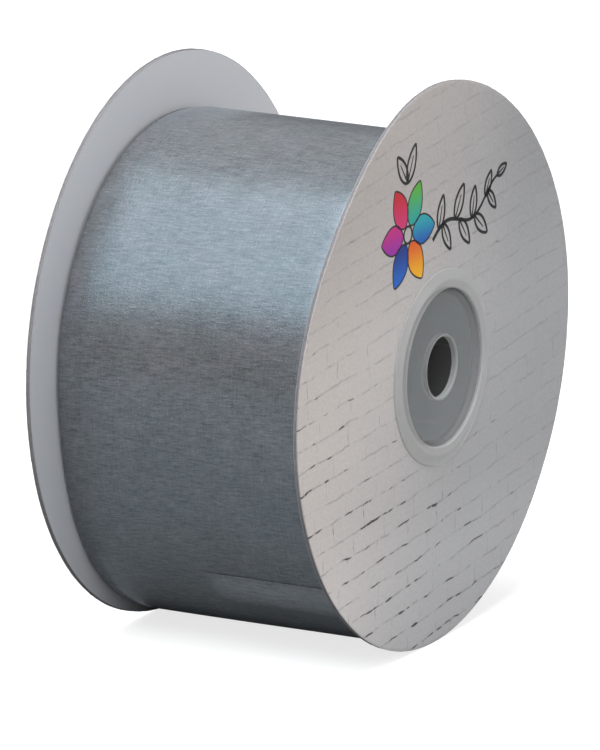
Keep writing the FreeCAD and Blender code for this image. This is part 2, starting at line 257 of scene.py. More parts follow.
def brush_lines(f, wall, worn):
    """Black runs of paint on the joints, more where worn: how black, and the half width of the bed's runs."""
    run = f.noise(wall.across * 0.24, wall.bed * 5.3, 41.0, detail=1, roughness=0.4)
    thin = ((run - (0.69 - 0.14 * worn)) * 2.2).apply("MINIMUM", 0.16)
    bold_run = f.noise(wall.across * 0.22, wall.bed * 3.9, 47.0, detail=0)
    bold = ((bold_run - (0.80 - 0.19 * worn)) * 1.9).apply("MINIMUM", 0.27)
    run_width = thin.apply("MAXIMUM", bold)
    unbroken = f.noise(wall.across * 1.1, wall.bed * 2.3, 63.0, detail=1).step(0.26, 0.40)
    beds = (run_width - wall.bed_gap + wall.fray).step(-0.05, 0.09) * run_width.step(-0.02, 0.06) * unbroken
    cross = f.noise(wall.brick * 7.7, wall.course * 4.1, wall.up * 0.35 + 57.0, detail=1)
    cross_width = ((cross - (0.66 - 0.03 * worn)) * 2.5).apply("MINIMUM", 0.14)
    heads = (cross_width - wall.head_gap).step(-0.02, 0.06) * cross_width.step(0.0, 0.05)
    return beds.apply("MAXIMUM", heads), run_width


def paper_tone(f, wall, x, z):
    """Colour of the bare paper: mottled, with painted warm light up the near side, painted light at the foot,
    painted shade towards the top and the far side, and painted shade along its rim.
    """
    # Painted warm light: the paper turns to its lit, warmer colour up the near side
    painted_warm_light = (x * 0.012 - z * 0.006).step(0.30, -0.55)
    tone = f.noise(wall.brick * 3.1, wall.course * 2.3, 5.0, detail=0)
    paint = f.noise(wall.across * 0.5, wall.up * 0.8, 1.0, detail=4)
    blotch = f.noise(x * 1.6, z * 1.6, 84.0, detail=3, roughness=0.6)
    mottle = 0.05 * tone + 0.07 * paint + 0.25 * (blotch - 0.5)
    # Painted light and shade: lighter at the foot, where the floor throws light back, and darker towards the
    # top and the far side
    painted_light_slope = 0.12 * z.step(-18.0, -36.0) - 0.13 * z.step(5.0, 36.0) - 0.05 * x.step(12.0, 42.0)
    # Painted shade along the paper's cut rim
    rim_shade = 0.30 * hypot(x, z).step(49.86, 49.96)
    return f.scale_colour(f.mix(PAPER_COOL_SHADED, PAPER_WARM_LIT, painted_warm_light), 0.742 + painted_light_slope - rim_shade + mottle)


def printed_paper():
    """Off-white paper printed with old painted brickwork: faint joints, worn black in places."""
    f = Finish("printed_paper")
    x, _, z = f.place()
    wall = Brickwork(f, x, z)
    wear = (f.noise(x * 0.06, z * 0.06, 61.0) - 0.5) * 1.2
    worn = (wall.across * 0.020 + wall.up * 0.028 + wear).step(-0.10, -1.05)
    black, run_width = brush_lines(f, wall, worn)
    smudge = (run_width * 2.2 + 0.2 - wall.bed_gap).step(0.0, 0.9) * f.noise(x * 0.9, z * 0.9, 71.0, detail=3)
    specks = f.noise(x * 1.7, z * 1.7, 77.0, detail=3, roughness=0.7).step(0.70 - 0.03 * worn, 0.76)

    colour = paper_tone(f, wall, x, z)
    colour = f.mix(colour, JOINT_GREY, faint_joints(f, wall) * (0.46 + 0.12 * worn))
    colour = f.mix(colour, SMUDGE_GREY, smudge * 0.30)
    colour = f.mix(colour, BRUSH_BLACK, black * (0.42 + 0.58 * worn))
    colour = f.mix(colour, SPECK_GREY, specks * 0.4)
    fibres = f.noise(x * 14, z * 14, 4.0, detail=2)
    return f.finish(Base_Color=colour, Roughness=0.48 + 0.12 * fibres, Specular_IOR_Level=0.35,
                    Normal=f.bump(fibres, 0.010 * MM))


def liner_paper():
    """Smooth white lining, faintly cloudy, with painted shade along its rim."""
    f = Finish("liner_paper")
    x, _, z = f.place()
    cloud = f.noise(x * 0.12, z * 0.12, 6.0, detail=3)
    fibres = f.noise(x * 9, z * 9, 2.0, detail=2)
    colour = f.mix((0.570, 0.580, 0.617), (0.60, 0.595, 0.61), cloud)
    colour = f.scale_colour(colour, 0.95 + 0.04 * fibres)
    # Painted shade: the lining's cut rim is darkened to a board-like grey
    colour = f.mix(colour, (0.16, 0.15, 0.16), 0.8 * hypot(x, z).step(49.80, 49.90))
    return f.finish(Base_Color=colour, Roughness=0.55 + 0.1 * fibres, Specular_IOR_Level=0.3,
                    Normal=f.bump(fibres, 0.008 * MM))


def grey_board():
    """Grey board, with the layers of fibre that show at its cut edge."""
    f = Finish("grey_board")
    x, y, z = f.place()
    around = f.noise(x * 1.2, y * 9, z * 1.2, detail=4, roughness=0.65)
    layers = f.noise(x * 0.25, y * 22, z * 0.25, detail=2)
    colour = f.mix((0.085, 0.080, 0.084), (0.21, 0.20, 0.205), (around * 0.6 + layers * 0.4).step(0.25, 0.75))
    return f.finish(Base_Color=colour, Roughness=0.9, Specular_IOR_Level=0.1,
                    Normal=f.bump(around, 0.08 * MM))


def tube_board():
    """Spiral-wound board of the core, with the slanting seams between its plies."""
    f = Finish("tube_board")
    x, y, z = f.place()
    turn = z.apply("ARCTAN2", x) * (30 / (2 * math.pi))
    seam = (y + turn).gap_to_line(30.0).step(0.5, 0.1)
    fibres = f.noise(x * 1.5, y * 0.5, z * 1.5, detail=4, roughness=0.6)
    colour = f.mix((0.36, 0.33, 0.30), (0.52, 0.49, 0.45), fibres)
    colour = f.mix(colour, (0.20, 0.18, 0.16), seam * 0.7)
    return f.finish(Base_Color=colour, Roughness=0.85, Specular_IOR_Level=0.15,
                    Normal=f.bump(fibres - 0.6 * seam, 0.06 * MM))


def plug_plastic():
    """Milky moulded plastic. Painted shade darkens the web for the hollow behind it, darkest in a ring over
    the barrel's wall; the hole's lip carries a painted light ring, and the rim carries painted light and
    shade.
    """
    f = Finish("plug_plastic")
    x, y, z = f.place()
    radius = hypot(x, z)
    haze = f.noise(x * 0.25, y * 0.25, z * 0.25, detail=3)
    flow = f.noise(radius * 2.5, z.apply("ARCTAN2", x) * 1.2, 4.0, detail=2)
    pores = f.noise(x * 5, y * 5, z * 5, detail=2)
    # Painted highlight: a light ring round the hole's lip
    painted_lip_highlight = radius.step(5.95, 5.7)
    # Painted shade: a dark ring where the web meets the rim, over the barrel's wall
    wall = radius.step(13.2, 13.6) * radius.step(13.98, 13.8)
    web = radius.step(13.9, 13.7)
    # Painted shade of the hollow behind the web makes it darker than the rim
    colour = f.mix((0.575, 0.575, 0.57), (0.305, 0.320, 0.328), web)
    colour = f.mix(colour, (0.55, 0.555, 0.55), painted_lip_highlight)
    colour = f.mix(colour, (0.17, 0.175, 0.185), wall)
    # Painted light and shade on the rim: darker towards -X and the top, lighter towards +X and the foot
    cloud = (x * 0.0030 - z * 0.0030 - 0.02) * (1 - web)
    colour = f.scale_colour(colour, 0.90 + cloud + 0.12 * haze + 0.06 * flow)
    return f.finish(Base_Color=colour, Roughness=0.40 + 0.14 * pores, Specular_IOR_Level=0.30,
                    Alpha=0.45, Normal=f.bump(flow * 0.6 + pores * 0.4, 0.02 * MM))


def tape():
    """Thin cream tape on the core."""
    f = Finish("tape")
    x, y, z = f.place()
    creases = f.noise(x * 0.8, y * 0.3, z * 0.8, detail=3)
    colour = f.mix((0.50, 0.46, 0.36), (0.60, 0.56, 0.46), creases)
    return f.finish(Base_Color=colour, Roughness=0.45 + 0.2 * creases, Normal=f.bump(creases, 0.03 * MM))


def glue():
    """Dry clear glue, slightly yellow and glossy."""
    f = Finish("glue")
    x, y, z = f.place()
    lumps = f.noise(x * 1.1, y * 1.1, z * 1.1, detail=2)
    colour = f.mix((0.48, 0.48, 0.44), (0.62, 0.61, 0.55), lumps)
    return f.finish(Base_Color=colour, Roughness=0.12 + 0.1 * lumps, Transmission_Weight=0.35,
                    Normal=f.bump(lumps, 0.05 * MM))


def ribbon():
    """Sheer silver-blue weave: uneven threads both ways, broad watery tone, and fine glossy spots with
    painted glints in the shine; painted light on its selvedges and on its lifted free end.
    """
    f = Finish("ribbon")
    along, across, layer = f.cloth_place()
    lean = along + across * 0.06
    weft = f.noise(lean * 2.3, across * 0.30, 7.0 + layer, detail=3, roughness=0.65)
    warp = f.noise(along * 0.33, across * 2.4, 19.0 + layer, detail=3, roughness=0.65)
    thread = f.noise(lean * 4.6, across * 0.75, 13.0 + layer, detail=2, roughness=0.6)
    knots = f.noise(along * 3.1, across * 3.1, 11.0 + layer, detail=1, roughness=0.5)
    water = f.noise(lean * 0.55, across * 0.16, 23.0 + layer, detail=3, roughness=0.6)
    drift = f.noise(along * 0.10, across * 0.07, 27.0, detail=2)
    tint = f.noise(along * 0.13, across * 0.10, 5.0, detail=2)

    # The selvedges: a flatter bump, and painted light that makes them lighter in colour
    selvedge = across.apply("ABSOLUTE").step(21.0, 22.2)

    threads = 1.3 * (weft - 0.5) + 1.0 * (thread - 0.5) + 0.5 * (warp - 0.5) + 0.4 * (knots - 0.5)
    broad = 0.45 * (water - 0.5) + 0.26 * (drift - 0.5)
    # Painted light: the selvedges and the lifted part of the free end are made lighter in colour
    light = 1.0 + threads + broad + 0.10 * selvedge + 0.42 * f.mesh_value("painted_lift_light")
    colour = f.mix((0.091, 0.092, 0.095), (0.095, 0.093, 0.098), tint.step(0.45, 0.62))
    # Glint spots: glossier in the roughness, and lighter in the colour, which is a painted glint
    painted_glint_and_gloss = (knots + (warp - 0.5) * 0.5).step(0.62, 0.74)
    colour = f.scale_colour(colour, light + painted_glint_and_gloss * 0.28)
    height = weft * 0.35 + thread * 0.25 + warp * 0.80 + knots * 0.8
    tangent = f.new("ShaderNodeTangent")
    tangent.direction_type, tangent.axis = "RADIAL", "Y"
    return f.finish(Base_Color=colour, Roughness=0.25 - 0.10 * painted_glint_and_gloss + 0.10 * (water - 0.5),
                    Specular_IOR_Level=0.85, Specular_Tint=(0.50, 0.81, 1.0), Metallic=0.12,
                    Anisotropic=0.5, Anisotropic_Rotation=0.25, Tangent=tangent.outputs[0],
                    Sheen_Weight=0.09, Sheen_Roughness=0.35, Sheen_Tint=(0.70, 0.86, 1.0),
                    Normal=f.bump(height, 0.048 * MM, 0.9 - 0.4 * selvedge))


def ink(name, low, high, bottom, top):
    """Printed ink that runs from one colour at the bottom to another at the top, in millimetres of Z."""
    f = Finish(name)
    x, _, z = f.place()
    dots = f.noise(x * 6, z * 6, 2.0, detail=2)
    colour = f.mix(low, high, z.step(bottom, top))
    colour = f.scale_colour(colour, 0.90 + 0.2 * dots)
    return f.finish(Base_Color=colour, Roughness=0.40 + 0.1 * dots, Specular_IOR_Level=0.4,
                    Normal=f.bump(dots, 0.004 * MM))


# ---------------------------------------------------------------- mesh building

def make_piece(name, vertices, faces, material, smooth=True):
    """A mesh object with one material, put into the scene."""
    mesh = bpy.data.meshes.new(name)
    mesh.from_pydata([tuple(v) for v in vertices], [], faces)
    mesh.validate()
    mesh.update()
    if smooth:
        mesh.shade_smooth()
    else:
        mesh.shade_flat()
    mesh.materials.append(material)
    piece = bpy.data.objects.new(name, mesh)
    bpy.context.scene.collection.objects.link(piece)
    return piece


def grid_faces(rows, columns, wrap_rows=False, wrap_columns=False):
    """Quads of a grid of points numbered row by row."""
    faces = []
    for i in range(rows if wrap_rows else rows - 1):
        for j in range(columns if wrap_columns else columns - 1):
            i2, j2 = (i + 1) % rows, (j + 1) % columns
            faces.append((i * columns + j, i * columns + j2, i2 * columns + j2, i2 * columns + j))
    return faces


def keep_at_points(piece, name, values):
    """Stores one number or one vector for each vertex, where a material can read it."""
    values = np.array(values, np.float32)
    kind, channel = ("FLOAT_VECTOR", "vector") if values.ndim == 2 else ("FLOAT", "value")
    attribute = piece.data.attributes.new(name, kind, "POINT")
    attribute.data.foreach_set(channel, values.ravel())


def smooth_edges(piece, angle):
    """Keeps edges sharper than the angle, in degrees, crisp in the shading."""
    bpy.context.view_layer.objects.active = piece
    piece.select_set(True)
    bpy.ops.object.shade_smooth_by_angle(angle=math.radians(angle))
    piece.select_set(False)


# ---------------------------------------------------------------- card discs

DISC_SEGMENTS = 288
DISC_RINGS = 22
RIM_BAND = 0.6 * MM        # between the last ring and the rim
RIM_INNER_ROUND = 0.08 * MM     # bevel of the rim, on the face towards the ribbon
RIM_OUTER_ROUND = 0.12 * MM     # and on the outer face
RAGGED_BAND = 0.3 * MM     # of the rim that the die left uneven
RAGGED_LONG = 0.05 * MM    # how uneven, in long waves and in short ones
RAGGED_SHORT = 0.03 * MM
RIM_OUTSET = {"liner": -0.06 * MM, "board": -0.09 * MM, "print": 0.0}     # beyond the disc's radius
RIM_SKIRT = {"liner": 0.0, "board": 0.0, "print": 0.04 * MM}     # how far the cut pulled it over the edge
LOBE_ANGLE = math.radians(131.3)      # where the front disc leans out most, from +X towards +Z
LOBE_WIDTH = math.radians(39.1)
LOBE_HEIGHT = 3.42                    # mm, as are the lengths of the warp below
FRONT_TILT = (0.385, -0.328)          # lean that goes once round the disc, at +X and at +Z
FRONT_TWIST = (0.275, 0.543)          # lean that goes twice round it
FRONT_OFFSET = -0.30
REAR_TWIST = -0.28
WARP_RIPPLE = 0.08


def dish(radius):
    """How far the card's middle stands out beyond its edge, at this radius."""
    return DISC_DISH * (1 - max(0.0, radius - SEAT_RADIUS) / (DISC_RADIUS - SEAT_RADIUS))


def front_lean(angle):
    """How far the front disc's edge has warped outwards, in mm: mostly one lobe, up on the near side."""
    lobe = LOBE_HEIGHT * math.exp(-((angle - LOBE_ANGLE) / LOBE_WIDTH) ** 2)
    tilt = FRONT_TILT[0] * math.cos(angle) + FRONT_TILT[1] * math.sin(angle)
    twist = FRONT_TWIST[0] * math.cos(2 * angle) + FRONT_TWIST[1] * math.sin(2 * angle)
    return lobe + tilt + twist + FRONT_OFFSET


def disc_warp(x, z, side):
    """How far the card stands out from its dished shape, away from the ribbon."""
    radius = math.hypot(x, z)
    reach = max(0.0, (radius - SEAT_RADIUS) / (DISC_RADIUS - SEAT_RADIUS)) ** 1.6
    angle = math.atan2(z, x)
    lean = front_lean(angle % (2 * math.pi)) if side < 0 else REAR_TWIST * math.cos(2 * angle)
    wave = noise.noise(Vector((x * 45, z * 45, 5.0 + side)))
    return reach * (lean + WARP_RIPPLE * wave) * MM


def ragged_rim(angle, side):
    """How far the die-cut rim stands out or in at this angle."""
    long_wave = noise.noise(Vector((math.cos(angle) * 60, math.sin(angle) * 60, side * 3)))
    short_wave = noise.noise(Vector((math.cos(angle) * 190, math.sin(angle) * 190, side * 7)))
    return RAGGED_LONG * long_wave + RAGGED_SHORT * short_wave


def disc_profile(layer, inner_y, outer_y, side):
    """Closed outline of one layer of a disc, as (radius, y) pairs that leave out its dish and warp."""
    radii = [HUB_HOLE_RADIUS] + list(np.linspace(SEAT_RADIUS, DISC_RADIUS - RIM_BAND, DISC_RINGS))
    rim = DISC_RADIUS + RIM_OUTSET[layer]
    rim_edge = [
        (DISC_RADIUS - RIM_INNER_ROUND, inner_y),
        (rim, inner_y - side * RIM_SKIRT[layer]),
        (rim, inner_y + side * LAYER_THICKNESS[layer] * 0.7),
        (DISC_RADIUS - RIM_OUTER_ROUND, outer_y),
    ]
    return [(r, inner_y) for r in radii] + rim_edge + [(r, outer_y) for r in reversed(radii)]


def disc_layer(layer, side_name, side, material):
    """One layer of a disc: a thin ring whose rim is slightly ragged like die-cut card."""
    node = f"flange_{layer}_{side_name}"
    low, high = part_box(node)
    inner_y = low.y if side > 0 else high.y        # inner face at the disc's edge
    outline = disc_profile(layer, inner_y, inner_y + side * LAYER_THICKNESS[layer], side)
    vertices = []
    for k in range(DISC_SEGMENTS):
        angle = 2 * math.pi * k / DISC_SEGMENTS
        ragged = ragged_rim(angle, side)
        for radius, y in outline:
            r = radius + (ragged if radius > DISC_RADIUS - RAGGED_BAND else 0)
            x, z = r * math.cos(angle), r * math.sin(angle)
            vertices.append((x, y + side * (dish(r) + disc_warp(x, z, side)), z))
    faces = grid_faces(DISC_SEGMENTS, len(outline), wrap_rows=True, wrap_columns=True)
    if side > 0:
        faces = [face[::-1] for face in faces]
    piece = make_piece(f"disc_{layer}_{side_name}", vertices, faces, material)
    smooth_edges(piece, angle=35)
    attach(piece, f"{side_name}_disc")
    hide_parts(node)


def make_discs():
    papers = {"liner": liner_paper(), "board": grey_board(), "print": printed_paper()}
    for side_name, side in (("front", -1), ("rear", 1)):
        for layer, material in papers.items():
            disc_layer(layer, side_name, side, material)


# ---------------------------------------------------------------- printed motif

FRONT_PRINT_FACE = -(PRINT_LOW.y + LAYER_THICKNESS["print"])     # at the disc's edge
MOTIF_TILT = math.radians(8)
FLOWER_CENTRE = (-12.0, 26.0)      # mm, as are the motif's other lengths
PETALS = [                         # name, direction in degrees, colour at its lower end, at its upper end
    ("red", 120, (0.62, 0.030, 0.16), (0.55, 0.012, 0.015)),
    ("green", 60, (0.02, 0.34, 0.30), (0.10, 0.42, 0.03)),
    ("teal", 0, (0.010, 0.10, 0.42), (0.02, 0.36, 0.40)),
    ("orange", -60, (0.85, 0.42, 0.01), (0.72, 0.10, 0.01)),
    ("blue", -120, (0.010, 0.12, 0.52), (0.01, 0.03, 0.22)),
    ("violet", 180, (0.30, 0.02, 0.35), (0.55, 0.02, 0.20)),
]
PETAL_LENGTH, PETAL_WIDTH = 8.2, 5.2
PETAL_ROOT_RADIUS = 1.7
FLOWER_RING_RADIUS = 1.5
LEAVES = [                         # place along the stem, turn from it in degrees, length
    (0.10, 62, 6.0), (0.16, -70, 5.6), (0.34, 48, 6.6), (0.40, -62, 6.0), (0.58, 66, 5.6),
    (0.62, -48, 6.0), (0.80, 50, 4.8), (0.84, -58, 4.6), (1.0, 12, 3.8),
]
UPPER_LEAVES_RISE = 9.2            # of their root over the flower's centre
UPPER_LEAVES = [(128, 6.6), (62, 7.0)]     # direction in degrees, length
LEAF_SLIMNESS = 0.42               # width over length
LEAF_ROWS = 24                     # across a leaf or petal, from its root to its tip
VEIN_ROWS = 17                     # of them with the vein
STEM_ROOT = (-5.5, 23.6)
STEM_START, STEM_LENGTH = 2.5, 25.5
STEM_WAVE, STEM_WAVES = 1.6, 1.25  # how far it sways, and how many times
PETAL_PEN, RING_PEN, LEAF_PEN = 0.15, 0.22, 0.27      # half widths of the lines
PETAL_LIFT, LINE_LIFT = 0.018 * MM, 0.030 * MM        # of the ink above the paper
INK_DEPTH = 0.02 * MM              # of its underside below the paper's face


def front_face(x, z):
    """Outer face of the front disc's paper."""
    return FRONT_PRINT_FACE - dish(math.hypot(x, z)) - disc_warp(x, z, -1)


def decal(rows, lift, closed=False):
    """Vertices and faces of a film of ink on the front disc, from rows of (x, z) places in millimetres.

    A closed one joins its last row to its first.
    """
    count, width = len(rows), len(rows[0])
    vertices = []
    for height in (lift, -INK_DEPTH):
        for row in rows:
            for x, z in row:
                vertices.append((x * MM, front_face(x * MM, z * MM) - height, z * MM))
    sheet = grid_faces(count, width, wrap_rows=closed)
    under = count * width
    faces = sheet + [tuple(under + i for i in face[::-1]) for face in sheet]
    for i in range(count if closed else count - 1):
        for j in (0, width - 1):
            a, b = i * width + j, (i + 1) % count * width + j
            faces.append((a, b, under + b, under + a) if j else (b, a, under + a, under + b))
    if not closed:
        for i in (0, count - 1):
            for j in range(width - 1):
                a, b = i * width + j, i * width + j + 1
                faces.append((b, a, under + a, under + b) if i else (a, b, under + b, under + a))
    return vertices, faces


def stroke_rows(path, half_width, closed=False):
    """Rows across a pen stroke along the path."""
    rows = []
    for i, (x, z) in enumerate(path):
        before = path[i - 1] if closed or i else path[0]
        after = path[(i + 1) % len(path)] if closed or i < len(path) - 1 else path[-1]
        along = np.subtract(after, before)
        nx, nz = np.array((-along[1], along[0])) / np.linalg.norm(along)
        half = half_width(i / (len(path) - 1)) if callable(half_width) else half_width
        rows.append([(x + nx * half * side, z + nz * half * side) for side in (-1, 0, 1)])
    return rows


def leaf_shape(root, direction, length, width):
    """Outline points and filling rows of a leaf or petal that grows from its root; direction in degrees."""
    c, s = math.cos(math.radians(direction)), math.sin(math.radians(direction))

    def spot(along, across):
        return root[0] + c * along - s * across, root[1] + s * along + c * across

    sides, rows = ([], []), []
    for t in np.linspace(0.01, 0.99, LEAF_ROWS):
        half = width / 2 * math.sin(math.pi * t ** 0.85) ** 0.75
        rows.append([spot(t * length, half * share) for share in (-1, -0.5, 0, 0.5, 1)])
        sides[0].append(spot(t * length, half))
        sides[1].append(spot(t * length, -half))
    return sides[0] + sides[1][::-1], rows


def motif_piece(name, parts, material):
    """One printed piece made of several films of ink."""
    vertices, faces = [], []
    for part_vertices, part_faces in parts:
        faces += [tuple(i + len(vertices) for i in face) for face in part_faces]
        vertices += part_vertices
    piece = make_piece(name, vertices, faces, material, smooth=False)
    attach(piece, "front_disc")


def stem_point(t):
    """The stem's middle line, t from 0 at the flower to 1 at its tip, in millimetres."""
    along = STEM_START + STEM_LENGTH * t
    across = STEM_WAVE * math.sin(2 * math.pi * t * STEM_WAVES) - 0.8 + 1.5 * t ** 2
    c, s = math.cos(MOTIF_TILT), math.sin(MOTIF_TILT)
    return STEM_ROOT[0] + along * c - across * s, STEM_ROOT[1] + along * s + across * c


def make_petals():
    """The six coloured petals; returns the outline of each."""
    outlines = []
    for name, direction, bottom_colour, top_colour in PETALS:
        angle = math.radians(direction)
        root = (FLOWER_CENTRE[0] + PETAL_ROOT_RADIUS * math.cos(angle),
                FLOWER_CENTRE[1] + PETAL_ROOT_RADIUS * math.sin(angle))
        outline, rows = leaf_shape(root, direction, PETAL_LENGTH, PETAL_WIDTH)
        heights = [z for row in rows for _, z in row]
        colour = ink(f"ink_{name}", bottom_colour, top_colour, min(heights), max(heights))
        motif_piece(f"print_petal_{name}", [decal(rows, PETAL_LIFT)], colour)
        outlines.append(outline)
    return outlines


def make_motif():
    """A six-petalled flower with a leafy stem, in place of a printed mark."""
    lines = [decal(stroke_rows(outline, PETAL_PEN, closed=True), LINE_LIFT, closed=True)
             for outline in make_petals()]
    ring = [(FLOWER_CENTRE[0] + FLOWER_RING_RADIUS * math.cos(a),
             FLOWER_CENTRE[1] + FLOWER_RING_RADIUS * math.sin(a))
            for a in np.linspace(0, 2 * math.pi, 24, endpoint=False)]
    lines.append(decal(stroke_rows(ring, RING_PEN, closed=True), LINE_LIFT, closed=True))
    stem = [stem_point(t) for t in np.linspace(0, 1, 60)]
    lines.append(decal(stroke_rows(stem, lambda t: 0.38 - 0.14 * t), LINE_LIFT))
    tilt = math.degrees(MOTIF_TILT)
    leaves = [(stem_point(t), tilt + turn, length) for t, turn, length in LEAVES]
    above = (FLOWER_CENTRE[0], FLOWER_CENTRE[1] + UPPER_LEAVES_RISE)
    leaves += [(above, direction, length) for direction, length in UPPER_LEAVES]
    for root, direction, length in leaves:
        outline, rows = leaf_shape(root, direction, length, length * LEAF_SLIMNESS)
        vein = [row[2] for row in rows[:VEIN_ROWS]]       # up the middle, short of the leaf's tip
        lines.append(decal(stroke_rows(outline, LEAF_PEN, closed=True), LINE_LIFT, closed=True))
        lines.append(decal(stroke_rows(vein, lambda t: 0.20 - 0.10 * t), LINE_LIFT))
    black = ink("ink_black", (0.012, 0.012, 0.014), (0.016, 0.015, 0.016), bottom=16.0, top=42.0)
    motif_piece("print_lines", lines, black)


# ---------------------------------------------------------------- ribbon

RIBBON_THICKNESS = 0.16 * MM
RIBBON_SHIFT = 0.55 * MM   # the wound ribbon has slid towards the rear disc
SELVEDGE_WIDTH = 0.9 * MM
SELVEDGE_EXTRA = 0.05 * MM
PROFILE_POINTS = 61        # across the ribbon, between its thick selvedges
EDGE_CURL = 0.45 * MM      # of the ribbon's edges towards the axis
EDGE_CURL_WIDTH = 3.5 * MM
OUTER_LIFT = 0.25 * MM     # of the outermost layer's middle above the oval
LAYER_STEP = 0.35 * MM     # between the slack turn's two ends, where it overlaps itself
PATH_STEP = 0.6 * MM       # between points of the slack turn's outline
ROW_STEP = 0.8 * MM        # between rows of vertices along it
TAIL_ROWS = 36             # along the free end
TAIL_SETTLE = 0.12 * MM    # how much closer the free end lies than the turn before it
TAIL_CLING = 0.13 * MM     # how much closer still its half towards the rear disc lies
TAIL_BULGE = 0.8 * MM      # of the free end, on the half towards the front disc
FRONT_HALF_START = 0.2 * MM    # across the ribbon, where the half that stands off begins
FRONT_HALF_BLEND = 2.0 * MM
TAIL_JOIN_ANGLE = 58.0     # degrees below the horizontal about the belly's centre, as the next two
TAIL_END_ANGLE = 36.8
UNDER_START_ANGLE = 76.0


def oval():
    """The slack turn's outline as a list of (centre_x, centre_z, radius, start, end) arcs, in degrees.

    It starts at the bottom and runs up the near side (-X), over the top and down the far side.
    """
    gap = TURN_CENTRE - BELLY_CENTRE
    flank = (TURN_RADIUS ** 2 + gap ** 2 - BELLY_ARC_RADIUS ** 2) / (2 * (TURN_RADIUS - BELLY_ARC_RADIUS))
    meet = math.degrees(math.atan2(gap, flank - TURN_RADIUS))      # below the horizontal
    return [
        (0.0, BELLY_CENTRE, BELLY_ARC_RADIUS, -90.0, -180.0 + meet),
        (flank - TURN_RADIUS, TURN_CENTRE, flank, -180.0 + meet, -180.0),
        (0.0, TURN_CENTRE, TURN_RADIUS, 180.0, 0.0),
        (TURN_RADIUS - flank, TURN_CENTRE, flank, 0.0, -meet),
        (0.0, BELLY_CENTRE, BELLY_ARC_RADIUS, -meet, -90.0),
    ]


def oval_path():
    """Points, outward normals and lengths along one whole turn of the slack ribbon, and its whole length."""
    points, normals, lengths, total = [], [], [], 0.0
    for centre_x, centre_z, radius, start, end in oval():
        arc_length = abs(math.radians(end - start)) * radius
        count = max(2, int(arc_length / PATH_STEP))
        for k in range(count):
            angle = math.radians(start + (end - start) * k / count)
            normal = np.array((math.cos(angle), math.sin(angle)))
            points.append(np.array((centre_x, centre_z)) + normal * radius)
            normals.append(normal)
            lengths.append(total + arc_length * k / count)
        total += arc_length
    return np.array(points), np.array(normals), np.array(lengths), total


def path_at(lengths_wanted, path):
    """The path's points and normals at lengths that may run past one turn either way."""
    points, normals, lengths, total = path
    wrapped = np.mod(lengths_wanted, total)
    closed = np.append(lengths, total)

    def between(values):
        return np.stack([np.interp(wrapped, closed, np.append(column, column[0])) for column in values.T], 1)

    normal = between(normals)
    return between(points), normal / np.linalg.norm(normal, axis=1, keepdims=True)


def sheet_profile():
    """Closed outline across the ribbon: (across, height) pairs, outer face first, with thicker selvedges."""
    half = RIBBON_HALF_WIDTH
    edge = [half - SELVEDGE_WIDTH * t for t in (0.0, 0.12, 0.4, 0.8, 1.1)]
    inner = list(np.linspace(-edge[-1], edge[-1], PROFILE_POINTS))
    across = [-e for e in edge[:-1]] + inner + edge[:-1][::-1]
    outline = []
    for face in (1, -1):
        for v in across[::face]:
            into_edge = max(0.0, 1 - (half - abs(v)) / SELVEDGE_WIDTH)
            thick = RIBBON_THICKNESS / 2 + SELVEDGE_EXTRA / 2 * math.sin(math.pi * min(1.0, into_edge * 1.1))
            rounding = 0.35 if abs(v) > half - 1e-6 else 1.0
            outline.append((v, face * thick * rounding))
    return outline


def ripple(s, v, rise):
    """Slight unevenness of the slack cloth: long soft waves, softer near the top where it is taut."""
    long_wave = noise.noise(Vector((s * 55, v * 28, 2.0)))
    short_wave = noise.noise(Vector((s * 190, v * 60, 8.0)))
    return rise * (0.16 * MM * long_wave + 0.04 * MM * short_wave)


def edge_drop(v):
    """The ribbon's edges curl slightly towards the axis."""
    into_edge = max(0.0, 1 - (RIBBON_HALF_WIDTH - abs(v)) / EDGE_CURL_WIDTH)
    return -EDGE_CURL * into_edge ** 2


def ribbon_sheet(name, lengths, path, material, lift, thin=lambda s, v: 1.0, painted_lift_light=lambda s, v: 0.0):
    """Cloth at these lengths along the path. At length s and distance v across the ribbon:

    lift(s, v) is the height of its middle above the path, and thin(s, v) the share of its thickness that
    is left. The last function, for painted light, is 1 where it stands off what it lies on, and the material
    paints light there to make it lighter.
    """
    profile = sheet_profile()
    points, normals = path_at(lengths, path)
    vertices, cloth, painted_lift_light_values = [], [], []
    for s, point, normal in zip(lengths, points, normals):
        for v, height in profile:
            out = lift(s, v) + height * thin(s, v)
            vertices.append((point[0] + normal[0] * out, v + RIBBON_SHIFT, point[1] + normal[1] * out))
            cloth.append((s, v, 0.0))
            painted_lift_light_values.append(painted_lift_light(s, v))
    rows, columns = len(lengths), len(profile)
    faces = grid_faces(rows, columns, wrap_columns=True)
    half = columns // 2
    for row, flip in ((0, False), (rows - 1, True)):
        for j in range(half - 1):
            face = (row * columns + j, row * columns + columns - 1 - j,
                    row * columns + columns - 2 - j, row * columns + j + 1)
            faces.append(face[::-1] if flip else face)
    piece = make_piece(name, vertices, faces, material)
    keep_at_points(piece, "cloth", cloth)
    keep_at_points(piece, "painted_lift_light", painted_lift_light_values)
    smooth_edges(piece, angle=50)
    return piece


def belly_length(angle_below):
    """Length from the bottom up the near side to an angle below the horizontal on the belly's arc."""
    return math.radians(90 - angle_below) * BELLY_ARC_RADIUS


def front_share(v):
    """1 on the half towards the front disc, where the tail stands off, 0 where it clings."""
    return 0.5 - 0.5 * math.tanh((v - FRONT_HALF_START) / FRONT_HALF_BLEND)


